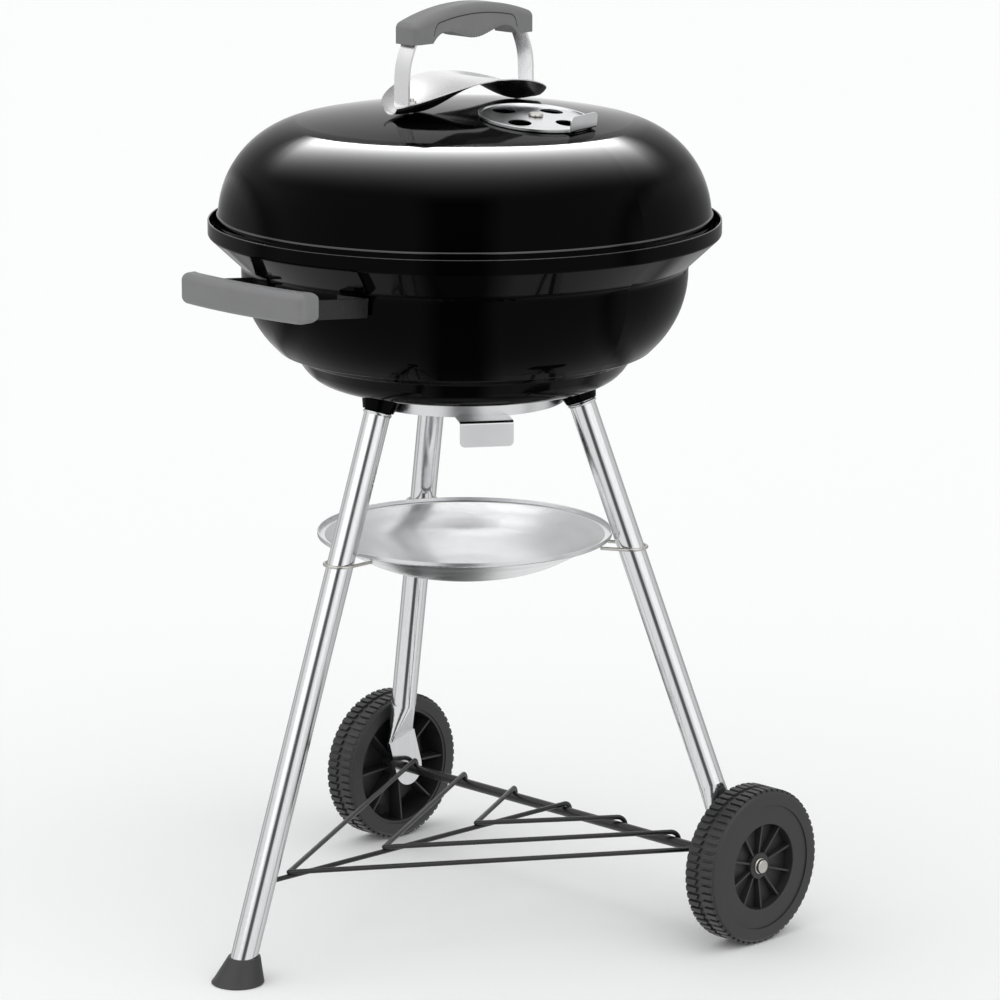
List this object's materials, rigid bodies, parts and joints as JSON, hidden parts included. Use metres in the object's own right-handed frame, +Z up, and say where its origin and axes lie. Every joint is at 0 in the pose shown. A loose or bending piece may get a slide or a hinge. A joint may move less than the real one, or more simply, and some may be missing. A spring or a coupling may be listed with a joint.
{
  "type": "kettle charcoal grill",
  "caption": "Round lidded charcoal kettle on a foot leg and two wheeled legs, with an ash pan, a wire rack, two air dampers and a handle on lid and bowl.",
  "frame": {"origin": "centre of the grill's bounding box at floor level", "axes": "+Z up; +X along the axle; -Y towards the foot leg and the side handle"},
  "size_m": [0.5376, 0.5704, 0.8995],
  "materials": {
    "black_enamel": "gloss",
    "chromed_tube": "gloss",
    "satin_aluminium": "satin",
    "brushed_steel": "satin",
    "plated_steel": "satin",
    "black_steel": "satin",
    "black_plastic": "matte",
    "grey_nylon": "matte"
  },
  "bodies": {
    "stand": {"bowl_shell": "black_enamel", "leg_socket_front": "black_enamel", "leg_socket_left": "black_enamel", "leg_socket_right": "black_enamel", "leg_front": "chromed_tube", "leg_left": "chromed_tube", "leg_right": "chromed_tube", "foot_cap": "black_plastic", "axle": "black_steel", "axle_cap_left": "plated_steel", "axle_cap_right": "plated_steel", "rack_wire_spine": "black_steel", "rack_wire_outer": "black_steel", "rack_wire_middle": "black_steel", "rack_wire_inner": "black_steel", "pan_clip_front": "plated_steel", "pan_clip_left": "plated_steel", "pan_clip_right": "plated_steel", "side_handle_strap": "black_steel", "side_handle_bolts": "plated_steel", "side_handle_grip": "grey_nylon", "bowl_damper_rivet": "plated_steel"},
    "lid": {"lid_shell": "black_enamel", "lid_handle_grip": "grey_nylon", "lid_handle_strap_front": "brushed_steel", "lid_handle_strap_rear": "brushed_steel", "lid_handle_bolts": "plated_steel", "lid_heat_shield": "brushed_steel", "lid_damper_rivet": "plated_steel"},
    "lid_damper": {"lid_damper": "satin_aluminium"},
    "bowl_damper": {"bowl_damper": "satin_aluminium"},
    "wheel_right": {"wheel_tyre_right": "black_plastic", "wheel_hub_right": "black_plastic"},
    "wheel_left": {"wheel_tyre_left": "black_plastic", "wheel_hub_left": "black_plastic"},
    "ash_pan": {"ash_pan": "satin_aluminium"},
    "cooking_grate": {"cooking_grate": "plated_steel"},
    "charcoal_grate": {"charcoal_grate": "plated_steel"}
  },
  "joints": [
    {"name": "lid_lift", "type": "slide", "parent": "stand", "child": "lid", "axis": [0, 0, 1], "range_m": [0, 0.25]},
    {"name": "lid_damper_turn", "type": "hinge", "parent": "lid", "child": "lid_damper", "pos_m": [0.094, 0.04025, 0.79866], "axis": [0.117, 0, 0.9931], "range_deg": [-45, 45]},
    {"name": "bowl_damper_turn", "type": "hinge", "parent": "stand", "child": "bowl_damper", "pos_m": [0, 0.04025, 0.5345], "axis": [0, 0, 1], "range_deg": [-30, 30]},
    {"name": "wheel_right_spin", "type": "hinge", "parent": "stand", "child": "wheel_right", "pos_m": [0.2503, 0.18075, 0.0763], "axis": [1, 0, 0], "continuous": true},
    {"name": "wheel_left_spin", "type": "hinge", "parent": "stand", "child": "wheel_left", "pos_m": [-0.2503, 0.18075, 0.0763], "axis": [1, 0, 0], "continuous": true},
    {"name": "ash_pan_lift", "type": "slide", "parent": "stand", "child": "ash_pan", "axis": [0, 0, 1], "range_m": [0, 0.015]},
    {"name": "cooking_grate_lift", "type": "slide", "parent": "stand", "child": "cooking_grate", "axis": [0, 0, 1], "range_m": [0, 0.125]},
    {"name": "charcoal_grate_lift", "type": "slide", "parent": "stand", "child": "charcoal_grate", "axis": [0, 0, 1], "range_m": [0, 0.0625]}
  ],
  "couplings": [
    {"joint": "cooking_grate_lift", "follows": "lid_lift", "ratio": 0.5},
    {"joint": "charcoal_grate_lift", "follows": "lid_lift", "ratio": 0.25}
  ]
}
